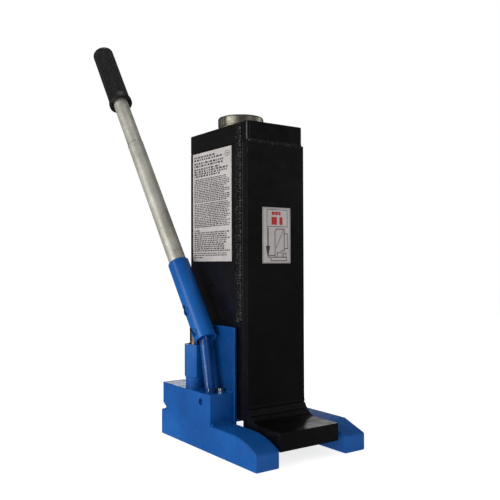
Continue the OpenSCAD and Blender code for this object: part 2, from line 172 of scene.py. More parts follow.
def enamel(name, dark, base, light, wear_and_glints=0.0, peel=0.16, cast=0.40, rough=0.32, coat=0.10,
           haze=0.12, chip_scale=210, ribs=None):
    """Sprayed enamel: cloudy colour, patches of dust, chips of pale metal, and relief; the chips are wear on edges
    and painted glint flecks on the weld drops.

    cast and peel are the strengths of the coarse and fine relief; haze is the coat's roughness.
    """
    finish = Finish(name, Coat_Weight=coat, Coat_Roughness=haze, Specular_IOR_Level=0.25)
    colour = finish.ramp(finish.noise(9, detail=4), [(0.30, dark), (0.52, base), (0.74, light)])
    dust = finish.ramp(finish.noise(38, detail=6, roughness=0.7),
                       [(0.60, (0, 0, 0)), (0.86, (1, 1, 1))])
    dusty = tuple(0.9 * channel + 0.02 for channel in light)
    colour = finish.blend(finish.spread(dust, 0, 1, 0, 0.14), colour, dusty)
    if wear_and_glints:
        chips = finish.ramp(finish.noise(chip_scale, detail=5, roughness=0.75),
                            [(0.66 - wear_and_glints, (0, 0, 0)), (0.70 - wear_and_glints, (1, 1, 1))])
        colour = finish.blend(chips, colour, (0.20, 0.195, 0.19))
        finish.link("Metallic", finish.spread(chips, 0, 1, 0, 0.7))
    finish.link("Base Color", colour)
    finish.link("Roughness", finish.spread(finish.noise(55, detail=5), 0.3, 0.7,
                                           rough - 0.10, rough + 0.10))
    layers = [(finish.noise(95, detail=3), cast, 0.0006),
              (finish.noise(620, detail=1), peel, 0.0003)]
    if ribs:
        layers.append((finish.ribs(*ribs), 1.0, 0.0016))
    finish.link("Normal", finish.bump_chain(layers))
    return finish.material


def bare_metal(name, dark, base, light, rough, streak, stretch=None, bump=0.12, metallic=1.0):
    """Bare metal with stained, streaked colour and scratched roughness."""
    finish = Finish(name, Metallic=metallic)
    stain = finish.noise(26, detail=6, roughness=0.65)
    colour = finish.ramp(stain, [(0.28, dark), (0.50, base), (0.76, light)])
    fine = finish.noise(streak, detail=4, roughness=0.7, stretch=stretch)
    colour = finish.blend(finish.spread(fine, 0.35, 0.75, 0.0, 0.35), colour, dark)
    finish.link("Base Color", colour)
    finish.link("Roughness", finish.spread(fine, 0.3, 0.7, rough - 0.08, rough + 0.14))
    finish.link("Normal", finish.bump_chain([(fine, bump, 0.0003)]))
    return finish.material


def soft_plastic(name, dark, light, rough, grain, bump):
    """Rubber or moulded plastic: fine grain, dusty highlights."""
    finish = Finish(name, Specular_IOR_Level=0.35)
    colour = finish.ramp(finish.noise(60, detail=5), [(0.35, dark), (0.72, light)])
    finish.link("Base Color", colour)
    finish.link("Roughness", finish.spread(finish.noise(150, detail=4), 0.3, 0.7,
                                           rough - 0.08, rough + 0.1))
    finish.link("Normal", finish.bump_chain([(finish.noise(grain, detail=3), bump, 0.0003)]))
    return finish.material


def printed_film(name, dark, light):
    """Satin film or ink, faded in patches."""
    finish = Finish(name, Specular_IOR_Level=0.5)
    finish.link("Base Color", finish.ramp(finish.noise(30, detail=5), [(0.30, dark), (0.70, light)]))
    finish.link("Roughness", finish.spread(finish.noise(90, detail=4), 0.3, 0.7, 0.34, 0.52))
    finish.link("Normal", finish.bump_chain([(finish.noise(160, detail=2), 0.05, 0.0003)]))
    return finish.material


# Linear colours, each as its dark, middle and light cloud
BLUE = ((0.003, 0.064, 0.262), (0.005, 0.092, 0.352), (0.009, 0.118, 0.410))
BLACK = ((0.0026, 0.0020, 0.0023), (0.0042, 0.0033, 0.0037), (0.0075, 0.0063, 0.0068))
MATERIALS = {
    "base_enamel": enamel("blue_enamel", *BLUE),
    "base_edge": enamel("blue_enamel_edge", *BLUE, wear_and_glints=0.035),
    "housing_enamel": enamel("black_enamel", *BLACK, cast=0.18),
    "housing_edge": enamel("black_enamel_edge", *BLACK, wear_and_glints=0.03, cast=0.18),
    "toe_enamel": enamel("black_enamel_toe", *BLACK, cast=0.18, rough=0.36, coat=0.12,
                         ribs=(210, 0.055, 0.085)),
    "weld_black": enamel("black_weld", *BLACK, peel=0.6, cast=0.9, rough=0.36, coat=0.05),
    # Weld drops: dense fine chips of pale metal, painted glint flecks on the spatter and the front cap weld
    "weld_drops_painted_glints": enamel("black_drops_painted_glints", *BLACK, wear_and_glints=0.09, peel=0.3, cast=0.4, rough=0.12,
                         coat=1.0, haze=0.04, chip_scale=620),
    "weld_blue": enamel("blue_weld", *BLUE, peel=0.5, cast=0.8, rough=0.24),
    "base_gloss": enamel("blue_gloss", (0.003, 0.036, 0.160), (0.005, 0.058, 0.240),
                         (0.010, 0.085, 0.310), peel=0.12, cast=0.3, rough=0.16, coat=1.0, haze=0.05),
    # Darker blue for the left guide plate: painted shade for its recess behind the pump, link and lever
    "guide_painted_shade": enamel("blue_guide_painted_shade", (0.0018, 0.036, 0.150), (0.0028, 0.050, 0.200),
                           (0.0050, 0.070, 0.255)),
    "machined_steel": bare_metal("machined_steel", (0.20, 0.19, 0.18), (0.42, 0.41, 0.39),
                                 (0.58, 0.57, 0.54), 0.34, 300, stretch=(1, 1, 6)),
    "black_steel": bare_metal("black_steel", (0.018, 0.018, 0.019), (0.035, 0.035, 0.037),
                              (0.07, 0.068, 0.066), 0.45, 400),
    "galvanised_steel": bare_metal("galvanised_steel", (0.44, 0.43, 0.36), (0.70, 0.685, 0.60),
                                   (0.86, 0.845, 0.77), 0.50, 160, metallic=0.7),
    "worn_head_steel": bare_metal("worn_head_steel", (0.13, 0.115, 0.085), (0.33, 0.315, 0.26),
                                  (0.66, 0.63, 0.55), 0.42, 240, bump=0.5),
    "hard_chrome": bare_metal("hard_chrome", (0.45, 0.43, 0.41), (0.66, 0.65, 0.63),
                              (0.78, 0.77, 0.76), 0.14, 500, stretch=(1, 1, 0.2), bump=0.03),
    "stained_chrome": bare_metal("stained_chrome", (0.16, 0.075, 0.05), (0.40, 0.29, 0.25),
                                 (0.70, 0.69, 0.68), 0.24, 60, stretch=(1, 1, 0.3), bump=0.05),
    "bronze": bare_metal("bearing_bronze", (0.22, 0.12, 0.04), (0.48, 0.30, 0.11),
                         (0.62, 0.42, 0.19), 0.36, 260),
    "seal_rubber": soft_plastic("seal_rubber", (0.008, 0.008, 0.008), (0.018, 0.018, 0.018),
                                0.5, 900, 0.1),
    "grip_rubber": soft_plastic("grip_rubber", (0.0052, 0.0040, 0.0042), (0.012, 0.0096, 0.0100),
                                0.44, 700, 0.25),
    "knob_plastic": soft_plastic("knob_plastic", (0.012, 0.012, 0.013), (0.026, 0.026, 0.028),
                                 0.42, 800, 0.2),
    "label_film": printed_film("label_film", (0.40, 0.37, 0.36), (0.50, 0.47, 0.465)),
    "label_ink": printed_film("label_ink", (0.030, 0.028, 0.030), (0.075, 0.070, 0.072)),
    "label_red": printed_film("label_red", (0.33, 0.012, 0.016), (0.46, 0.024, 0.028)),
}
WORN_EDGE = {"base_enamel": "base_edge", "housing_enamel": "housing_edge"}
SLOT_OF = {part["node"]: part["material_slot"] for part in RECORD["subparts"]}
BODY_OF = {node: body for body, nodes in RECORD["behaviour"]["bodies"].items() for node in nodes}


# ---------------------------------------------------------------- mesh helpers
def new_piece(name, mesh, body, slot, *finishes):
    """Links a mesh as a piece that rides on a body, with its materials."""
    piece = bpy.data.objects.new(name, mesh)
    bpy.context.scene.collection.objects.link(piece)
    mesh.materials.clear()
    for finish in finishes:
        mesh.materials.append(MATERIALS[finish])
    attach(piece, body)
    return piece


def mesh_from(name, bm, sharp_deg):
    """Mesh from a bmesh, shaded smooth except across edges sharper than sharp_deg."""
    bmesh.ops.recalc_face_normals(bm, faces=bm.faces)
    limit = math.radians(sharp_deg)
    for face in bm.faces:
        face.smooth = True
    for edge in bm.edges:
        edge.smooth = len(edge.link_faces) == 2 and edge.calc_face_angle(0) < limit
    mesh = bpy.data.meshes.new(name)
    bm.to_mesh(mesh)
    bm.free()
    return mesh


def clean_copy(node):
    """The node's mesh with its seams welded and its flat faces merged."""
    bm = bmesh.new()
    bm.from_mesh(NODES[node].data)
    bmesh.ops.remove_doubles(bm, verts=bm.verts, dist=2e-6)
    bmesh.ops.dissolve_limit(bm, angle_limit=math.radians(0.5), verts=bm.verts, edges=bm.edges)
    return bm


def skin(bm, rings):
    """Quads between equal rings of vertices, and a cap at each end."""
    for one, two in zip(rings, rings[1:]):
        for k in range(len(one)):
            j = (k + 1) % len(one)
            bm.faces.new((one[k], one[j], two[j], two[k]))
    bm.faces.new(rings[0][::-1])
    bm.faces.new(rings[-1])


def across_path(path, i, up):
    """Sideways and outward directions at a point of a path."""
    before, after = path[max(i - 1, 0)], path[min(i + 1, len(path) - 1)]
    tangent = (after - before).normalized()
    side = tangent.cross(up).normalized()
    return side, side.cross(tangent).normalized()


# ---------------------------------------------------------------- finished CAD nodes
def finished(node, width, face):
    """A copy of a CAD node with rounded edges, which the node's place is given to."""
    slot = SLOT_OF[node]
    mesh = mesh_from(node + "_mesh", clean_copy(node), 30)
    piece = new_piece(node + "_finished", mesh, BODY_OF[node], slot, face, WORN_EDGE.get(slot, face))
    bevel = piece.modifiers.new("rounded_edges", "BEVEL")
    bevel.width = width
    bevel.segments = 3
    bevel.limit_method = "ANGLE"
    bevel.angle_limit = math.radians(32)
    bevel.harden_normals = True
    bevel.use_clamp_overlap = True
    bevel.material = 1
    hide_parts(node)


# Edge rounding in millimetres
ROUNDED = {
    "left_leg": 2.2, "right_leg": 2.2, "pump_block": 1.8, "front_plate": 2.0,
    "folded_housing": 1.0, "top_plate": 1.6, "left_guide_plate": 0.8, "right_guide_plate": 0.8,
    "rear_guide_plate": 0.8, "bridge_plate": 1.2, "pump_cylinder": 0.7, "lever_socket": 0.6,
    "link_rod": 0.6, "lower_lever_tube": 0.4, "upper_lever_tube": 0.4, "link_top_pin": 0.6,
    "plunger_pin": 0.6, "ram_flange": 0.8, "flange_screws": 0.4, "release_knob": 0.5,
    "filler_plug": 0.4, "valve_plugs": 0.4, "pump_plunger": 0.4,
}
# Nodes whose faces take a finish other than their slot's own; the left guide plate's darker blue is painted shade
FACES = {"front_plate": "toe_enamel", "left_guide_plate": "guide_painted_shade",
         "pump_plunger": "stained_chrome", "link_rod": "base_gloss"}
REMADE = ("load_head", "lever_grip", "pin_cotters")


def finish_nodes():
    """Rounds the edges of the nodes that show and gives the others their slot's material."""
    for node, width in ROUNDED.items():
        finished(node, width * MM, FACES.get(node, SLOT_OF[node]))
    for node, piece in NODES.items():
        if node not in ROUNDED and node not in REMADE:
            piece.data.materials.clear()
            piece.data.materials.append(MATERIALS[SLOT_OF[node]])


# ---------------------------------------------------------------- welds
WELD_STEP = 0.8         # millimetres between the rings of a bead
WELD_SIDES = 12
WELD_FINISH = {"base": ("base_enamel", "weld_blue"), "carriage": ("housing_enamel", "weld_black")}


def weld_bead(name, body, start, end, outward, width, height, pitch, seed, sink=0.6, finish=None):
    """Overlapping weld ripples between two points, half sunk into the faces they join."""
    start, end = Vector(start) * MM, Vector(end) * MM
    width, height, pitch, sink = width * MM, height * MM, pitch * MM, sink * MM
    length = (end - start).length
    count = max(6, int(length / (WELD_STEP * MM)))
    path = [start.lerp(end, i / count) for i in range(count + 1)]
    drift = random.Random(seed).uniform(0, 50)
    bm = bmesh.new()
    rings = []
    for i, point in enumerate(path):
        side, out = across_path(path, i, Vector(outward))
        along = length * i / count
        ripple = (along / pitch) % 1.0
        lump = noise.noise(Vector((along * 260, drift, 0)))
        scallop = 0.80 + 0.20 * (1 - ripple) ** 0.6 + 0.14 * lump
        ends = min(1.0, 4 * min(along, length - along) / width + 0.15)
        skew = 0.9 * MM * noise.noise(Vector((along * 120, 9, drift)))
        ring = []
        for k in range(WELD_SIDES + 1):
            angle = math.pi * k / WELD_SIDES
            fine = noise.noise(Vector((along * 700, angle * 3, drift)))
            reach = (width / 2) * scallop * (1 + 0.10 * fine) * ends
            rise = height * scallop * (1 + 0.22 * fine) * ends
            place = point + side * (math.cos(angle) * reach + skew)
            place += out * (math.sin(angle) * rise - sink)
            ring.append(bm.verts.new(place))
        rings.append(ring)
    skin(bm, rings)
    slot, plain = WELD_FINISH[body]
    new_piece(name, mesh_from(name, bm, 60), body, slot, finish or plain)


def spatter(name, drops, seed):
    """Small weld droplets on the tower: low domes, each (point, outward, radius)."""
    bm = bmesh.new()
    rng = random.Random(seed)
    for place, outward, radius in drops:
        turn = Vector(outward).to_track_quat("Z", "Y").to_matrix().to_4x4()
        matrix = (Matrix.Translation(Vector(place) * MM) @ turn
                  @ Matrix.Rotation(rng.uniform(0, 6.28), 4, "Z")
                  @ Matrix.Diagonal((1, rng.uniform(0.7, 1), 0.7, 1)))
        bmesh.ops.create_icosphere(bm, subdivisions=1, radius=radius * MM, matrix=matrix)
    # The droplets take the finish whose pale chips are painted glint flecks
    new_piece(name, mesh_from(name, bm, 80), "carriage", "housing_enamel", "weld_drops_painted_glints")


def tower_side_weld(tag, side, seed):
    """Wide weld up one side of the tower, strewn with droplets on it and beside it."""
    housing_low, housing_high = box_mm("folded_housing")
    x = side * housing_high[0]
    middle = housing_low[1] + 9
    low = box_mm("left_guide_plate")[1][2] + 8
    top = box_mm("top_plate")[1][2]
    weld_bead(tag + "_housing_weld", "carriage", (x, middle, low - 2), (x, middle, top - 1),
              (side, 0, 0), 16, 3.5, 3.4, seed)
    rng = random.Random(seed + 20)
    drops = [((x, middle + rng.uniform(-13, 17), rng.uniform(low, top - 4)),
              (side, 0, 0), rng.uniform(0.35, 0.8)) for _ in range(120)]
    for _ in range(480):
        across = rng.gauss(0, 3.8)
        if abs(across) < 7.4:
            proud = 2.9 * math.sqrt(1 - (across / 8.2) ** 2) - 0.5
            z = low + (top - 4 - low) * rng.random() ** 1.35
            drops.append(((x + side * proud, middle + across, z),
                          (side, 0.12 * across, 0), rng.uniform(0.6, 1.5)))
    spatter(tag + "_spatter", drops, seed)


def cap_welds():
    """Seams under the top plate: at the front, along the right and across the rear."""
    half = box_mm("folded_housing")[1][0]
    (_, front, seam), (_, rear, _) = box_mm("top_plate")
    weld_bead("cap_front_weld", "carriage", (-half + 1, front, seam), (half - 3, front, seam),
              (0, -1, 0), 5.5, 1.5, 7.0, 31, 0.3, "weld_drops_painted_glints")
    weld_bead("cap_right_weld", "carriage", (half - 1.3, front + 6, seam),
              (half - 1.3, rear - 18, seam), (1, 0, 0), 3.6, 1.6, 4.0, 37, 0.5)
    weld_bead("cap_rear_weld", "carriage", (-half + 11, rear, seam), (half - 12, rear, seam),
              (0, 1, 0), 4.0, 0.9, 4.0, 41, 0.3)


def flush_weld(name, leg_x, block_x, foot, front, rear):
    """Weld ground almost flat, which fills the groove between the leg and the pump block."""
    # Places up the weld's face: share of the way to the block, height, and roughness
    section = [(0.0, -1.6, 0), (0.06, 2.5, 1), (0.25, 6.0, 1), (0.5, 9.5, 1), (0.80, 13.0, 0)]
    inner = [(block_x + 4.0, foot + 8.0), (block_x + 4.4, foot + 0.4), (leg_x + 1.2, foot - 1.8)]
    bm = bmesh.new()
    count = int((rear - front) / 0.9)
    rings = []
    for i in range(count + 1):
        y = front + (rear - front) * i / count
        fade = (1 - min(1.0, (rear - y) / 5)) ** 2 * 4.0
        ring = []
        for part, rise, rough in section:
            wave = noise.noise(Vector((y * 0.22, rise * 0.3, 4.0)))
            fine = noise.noise(Vector((y * 0.75, rise * 0.9, 7.0)))
            x = leg_x + (block_x - leg_x) * part + 0.07
            x += rough * (0.30 + 0.34 * wave + 0.16 * fine) + fade
            ring.append(bm.verts.new(Vector((x, y, foot + rise + 0.5 * wave)) * MM))
        ring += [bm.verts.new(Vector((x, y, z)) * MM) for x, z in inner]
        rings.append(ring)
    skin(bm, rings)
    new_piece(name, mesh_from(name, bm, 60), "base", "base_enamel", "base_enamel")


def base_welds():
    """Beads round the pump block's foot and along the guide plates."""
    block_low, block_high = box_mm("pump_block")
    leg_low, leg_high = box_mm("left_leg")
    left_low, left_high = box_mm("left_guide_plate")
    right_low, right_high = box_mm("right_guide_plate")
    rear_low, rear_high = box_mm("rear_guide_plate")
    bridge = box_mm("bridge_plate")[0][2]
    outer, front, rear = block_low[0], block_low[1], block_high[1]
    inner, roof = block_high[0] - 1, block_high[2]
    guide_x = left_low[0] + 0.1
    foot = leg_high[2]
    flush_weld("block_outer_weld", leg_low[0], outer, foot, front + 0.3, rear - 6)
    weld_bead("block_front_weld", "base", (outer + 1, front, foot), (inner, front, foot),
              (0, -1, 1), 8, 2.6, 4.0, 6, 0.4)
    weld_bead("block_rear_weld", "base", (outer + 3, rear, foot), (inner, rear, foot),
              (0, 1, 0.4), 4, 1.6, 4.0, 7, 0.4)
    weld_bead("block_guide_weld", "base", (guide_x, front + 1, roof), (guide_x, front + 15, roof),
              (-1, 0, 1), 7, 2.4, 3.4, 9, 0.4)
    weld_bead("block_plate_weld", "base", (guide_x, left_high[1] - 34, roof),
              (guide_x, left_high[1] - 4, roof), (-1, 0, 1), 6, 2.0, 3.4, 10, 0.4)
    weld_bead("right_guide_weld", "base", (right_high[0], right_low[1] + 2, foot),
              (right_high[0], right_high[1] - 2, foot), (1, 0, 1), 8, 2.6, 4.0, 11, 0.4)
    weld_bead("rear_guide_weld", "base", (rear_low[0] + 2, rear_low[1], bridge),
              (rear_high[0] - 2, rear_low[1], bridge), (0, -1, -1), 8, 2.8, 3.6, 12, 0.4)


# ---------------------------------------------------------------- turned and moulded pieces
def lathe(profile, matrix, turns, dent=None):
    """Closed surface of revolution of (radius, height) points in metres, in a frame."""
    bm = bmesh.new()
    rings = []
    for radius, height in profile:
        if radius <= 1e-7:
            rings.append([bm.verts.new(matrix @ Vector((0, 0, height)))])
            continue
        ring = []
        for k in range(turns):
            angle = 2 * math.pi * k / turns
            reach = radius - (dent(angle, height) if dent else 0)
            place = Vector((reach * math.cos(angle), reach * math.sin(angle), height))
            ring.append(bm.verts.new(matrix @ place))
        rings.append(ring)
    closed = len(rings[0]) > 1 and len(rings[-1]) > 1
    pairs = list(zip(rings, rings[1:])) + ([(rings[-1], rings[0])] if closed else [])
    for one, two in pairs:
        for k in range(turns):
            j = (k + 1) % turns
            if len(one) == 1:
                bm.faces.new((one[0], two[j], two[k]))
            elif len(two) == 1:
                bm.faces.new((one[k], one[j], two[0]))
            else:
                bm.faces.new((one[k], one[j], two[j], two[k]))
    return bm


def rubber_grip():
    """Moulded grip: open collar, diamond knurl and a rounded end with a shallow dish."""
    low, high = span_in("lever_grip", LEVER)
    length = high.z - low.z
    tube = span_in("upper_lever_tube", LEVER)[1].x
    radius = span_in("lower_lever_tube", LEVER)[1].x + 5.4 * MM
    collar = high.x - 0.1 * MM
    bore_end = length - 8.5 * MM
    knurl_start, knurl_end = 16 * MM, length - 9 * MM
    knurl_rings, knurl_pairs, knurl_pitch = 150, 17, 6.4 * MM
    end_round = 5 * MM
    profile = [(0.0, bore_end), (tube + 0.1 * MM, bore_end), (tube + 0.1 * MM, 12 * MM),
               (tube + 0.6 * MM, 7 * MM), (collar - 4.6 * MM, 2.2 * MM),
               (collar - 2.6 * MM, 0.4 * MM), (collar - 1.4 * MM, 0.0), (collar - 0.3 * MM, 0.7 * MM),
               (collar, 2.0 * MM), (collar, 7.0 * MM), (collar - 0.5 * MM, 8.6 * MM),
               (radius + 0.1 * MM, 13.5 * MM)]
    profile += [(radius - 0.05 * MM, knurl_start + (knurl_end - knurl_start) * i / knurl_rings)
                for i in range(knurl_rings + 1)]
    for degrees in range(10, 91, 16):
        turn = math.radians(degrees)
        profile.append((radius - end_round * (1 - math.cos(turn)) - 0.05 * MM,
                        length - end_round + end_round * math.sin(turn)))
    profile += [(radius - 7.5 * MM, length - 0.05 * MM), (radius - 8.6 * MM, length - 0.9 * MM),
                (radius - 13 * MM, length - 1.2 * MM), (0.0, length - 1.2 * MM)]

    def knurl(angle, height):
        """Depth of two crossing sets of grooves, which run out at the knurl's ends."""
        depth = min(1, max(0, min(height - knurl_start, knurl_end - height) / (1.5 * MM)))
        if depth <= 0 or height > length - 8.6 * MM:
            return 0
        rising = (angle * knurl_pairs / math.pi + height / knurl_pitch) % 1.0
        falling = (angle * knurl_pairs / math.pi - height / knurl_pitch) % 1.0
        cut = max(abs(2 * rising - 1), abs(2 * falling - 1))
        return depth * 1.15 * MM * max(0.0, (cut - 0.45) / 0.55)

    bm = lathe(profile, LEVER @ Matrix.Translation((0, 0, low.z)), 14 * knurl_pairs, knurl)
    piece = new_piece("knurled_grip", mesh_from("knurled_grip", bm, 50), "handle", "grip_rubber",
                      "grip_rubber")
    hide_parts("lever_grip")


def turned_head():
    """Load head with turning rings, a waist groove and small knocks on its rim."""
    low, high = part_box("load_head")
    radius, top = high.x, high.z
    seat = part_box("top_plate")[1][2]
    shank_radius = 11.6 * MM
    shank = [(0.0, low.z), (shank_radius, low.z), (shank_radius, seat)]
    side = [(radius - 1.6 * MM, seat), (radius - 0.3 * MM, seat + 1.2 * MM)]
    side += [(radius - (0.9 if i in (5, 6) else 0.28 * (i % 2) + 0.1) * MM,
              seat + 1.6 * MM + (top - seat - 4.4 * MM) * i / 16) for i in range(17)]
    rim = [(radius - 0.5 * MM, top - 2.0 * MM), (radius - 1.2 * MM, top - 0.7 * MM),
           (radius - 2.6 * MM, top - 0.1 * MM)]
    face = [(radius * k / 14, top - (0.25 * (k % 2) + 0.05) * MM) for k in range(12, 0, -1)]
    rng = random.Random(17)
    knocks = [(rng.uniform(0, 6.28), rng.uniform(0.06, 0.16), rng.uniform(0.3, 0.9))
              for _ in range(9)]

    def dent(angle, height):
        """Depth of the deepest knock here; the knocks are (angle, half width, depth)."""
        if height < seat + 8 * MM:
            return 0
        cut = 0
        for where, wide, deep in knocks:
            gap = abs((angle - where + math.pi) % (2 * math.pi) - math.pi)
            cut = max(cut, deep * MM * max(0, 1 - gap / wide))
        return cut

    bm = lathe(shank + side + rim + face + [(0.0, top - 0.3 * MM)], Matrix(), 128, dent)
    piece = new_piece("turned_load_head", mesh_from("turned_load_head", bm, 42), "carriage",
                      "worn_head_steel", "worn_head_steel")
    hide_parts("load_head")


def link_thread():
    """Painted-over thread ridges along the link rod."""
    low = Vector(JOINTS["link_swing"]["pos_m"])
    run = FULCRUM - low
    turn = run.to_track_quat("Z", "X").to_matrix().to_4x4()
    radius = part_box("link_rod")[1][0] - low.x
    start, end = 17 * MM, run.length - 13 * MM
    steps = int((end - start) / (0.45 * MM))
    thread_pitch = 1.8 * MM
    profile = [(radius - 0.6 * MM, start)]
    for i in range(steps + 1):
        height = start + (end - start) * i / steps
        wave = 0.5 + 0.5 * math.cos(2 * math.pi * height / thread_pitch)
        profile.append((radius + (0.02 + 0.30 * wave) * MM, height))
    profile.append((radius - 0.6 * MM, end))
    bm = lathe(profile, Matrix.Translation(low) @ turn, 48)
    new_piece("link_thread", mesh_from("link_thread", bm, 60), "link", "base_enamel", "base_gloss")


def tube_crimp():
    """Dark crimp ring where the lever's lower tube ends on its upper one."""
    corner = span_in("lower_lever_tube", LEVER)[1]
    section = [(-1.2, -0.1), (-0.15, -0.5), (0.12, -0.25), (0.12, 0.25), (-0.15, 0.5)]
    profile = [(corner.x + across * MM, corner.z + along * MM) for across, along in section]
    bm = lathe(profile, LEVER, 64)
    new_piece("tube_crimp", mesh_from("tube_crimp", bm, 60), "handle", "galvanised_steel",
              "black_steel")


def add_wire(bm, points, radius):
    """Round wire through a row of points."""
    sides = 8
    rings = []
    for i, point in enumerate(points):
        side, out = across_path(points, i, Vector((1, 0, 0.01)))
        rings.append([bm.verts.new(point + radius * (side * math.cos(a) + out * math.sin(a)))
                      for a in [2 * math.pi * k / sides for k in range(sides)]])
    skin(bm, rings)


def bent_cotters():
    """Wire cotters over the pins: an eye at one end and two splayed legs."""
    low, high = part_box("pin_cotters")
    x = (low[0] + high[0]) / 2
    plunger_pin = [(a + b) / 2 for a, b in zip(*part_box("plunger_pin"))]
    wire, eye, reach, length = 0.55 * MM, 1.8, 6.5, 12.5
    bm = bmesh.new()
    for pin, across in ((FULCRUM, (UP_LEVER + UNDER * 0.35).normalized()),
                        (plunger_pin, UP_LEVER)):
        centre = Vector((x, pin[1], pin[2]))
        over = across.cross(SIDE)
        for sign in (-1, 1):
            leg = []
            for t in [k / 8 for k in range(9)]:
                splay = 0.5 + 2.6 * max(0, t - 0.55) ** 1.2
                bow = -0.3 * math.sin(math.pi * t)
                leg.append(centre + across * (reach - length * t) * MM
                           + over * sign * splay * MM + SIDE * bow * MM)
            add_wire(bm, leg, wire)
        loop = [centre + across * (reach + eye + eye * math.cos(a)) * MM
                + over * eye * math.sin(a) * MM
                for a in [math.pi + 2 * math.pi * k / 16 for k in range(17)]]
        add_wire(bm, loop, wire)
    piece = new_piece("bent_cotters", mesh_from("bent_cotters", bm, 60), "lever", "black_steel",
                      "black_steel")
    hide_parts("pin_cotters")


# ---------------------------------------------------------------- label artwork
class Sheet:
    """Thin raised shapes laid on a label; places are in millimetres from its middle."""

    def __init__(self, name, middle, right, up, out, finish):
        self.name, self.finish = name, finish
        self.middle, self.right, self.up, self.out = (Vector(v) for v in (middle, right, up, out))
        self.bm = bmesh.new()

    def place(self, u, v, lift):
        """Vertex at u to the right and v up, lifted off the label's face."""
        offset = self.right * u + self.up * v + self.out * lift
        return self.bm.verts.new(self.middle + offset * MM)

    def shape(self, outline):
        """Thin solid with this outline of (u, v) points."""
        skin(self.bm, [[self.place(u, v, lift) for u, v in outline] for lift in (-0.02, 0.07)])

    def bar(self, u0, v0, u1, v1):
        """Rectangle between two corners."""
        self.shape([(u0, v0), (u1, v0), (u1, v1), (u0, v1)])

    def line(self, points, width):
        """Straight strokes with square ends through a row of points."""
        for (u0, v0), (u1, v1) in zip(points, points[1:]):
            run = Vector((u1 - u0, v1 - v0)).normalized() * width / 2
            side = Vector((-run.y, run.x))
            self.shape([(u0 - run.x - side.x, v0 - run.y - side.y),
                        (u1 + run.x - side.x, v1 + run.y - side.y),
                        (u1 + run.x + side.x, v1 + run.y + side.y),
                        (u0 - run.x + side.x, v0 - run.y + side.y)])

    def finish_piece(self):
        """Makes the shapes one piece on the label."""
        new_piece(self.name, mesh_from(self.name, self.bm, 30), "carriage", "label_film",
                  self.finish)


def text_rows(sheet, rng, left, right, top, rows, pitch, tall, fill):
    """Rows of word-long dashes; returns the height below the last row."""
    for row in range(rows):
        v = top - row * pitch
        end = right - (right - left) * rng.choice((0, 0.02, 0.06, 0.3, 0.5)) * (1 - fill)
        u = left
        while u < end - 1.2:
            word = min(rng.uniform(1.6, 7.5), end - u)
            sheet.bar(u, v - tall, u + word, v)
            u += word + tall * 0.9
    return top - rows * pitch


def instruction_print():
    """Paragraphs of plain dashes and a plain oval mark on the side label."""
    low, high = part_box("instruction_label")
    middle = (low + high) / 2
    middle.x = low.x
    half_w, half_h = (high.y - low.y) / 2 / MM, (high.z - low.z) / 2 / MM
    rng = random.Random(5)
    sheet = Sheet("instruction_print", middle, (0, -1, 0), (0, 0, 1), (-1, 0, 0), "label_ink")
    left, right, top = -half_w + 4.5, half_w - 4, half_h - 5
    # Each paragraph: right margin, gap over it, rows, row pitch, mark height, fullness of rows
    paragraphs = (
        (right - 20, 0.0, 2, 4.0, 2.6, 0.5), (right - 17, 1.5, 2, 4.0, 2.6, 0.6),
        (right - 2, 1.0, 4, 3.6, 2.6, 0.5), (right, 2.0, 14, 2.65, 1.55, 0.7),
        (right, 1.0, 14, 2.65, 1.55, 0.8), (left + 16, 3.0, 1, 3.0, 1.9, 1.0),
        (right, 0.4, 10, 3.05, 1.9, 0.7), (right - 8, 1.2, 2, 2.8, 1.4, 1.0),
        (left + 26, 0.6, 1, 3.0, 1.6, 1.0),
    )
    v = top
    for end, gap, rows, pitch, tall, fill in paragraphs:
        v = text_rows(sheet, rng, left, end, v - gap, rows, pitch, tall, fill)
    oval = [(right - 6.5 + 6.5 * math.cos(a), top - 4.5 + 3.6 * math.sin(a))
            for a in [2 * math.pi * k / 28 for k in range(29)]]
    sheet.line(oval, 0.7)
    sheet.bar(right - 9.5, top - 5.2, right - 3.5, top - 3.8)
    sheet.finish_piece()


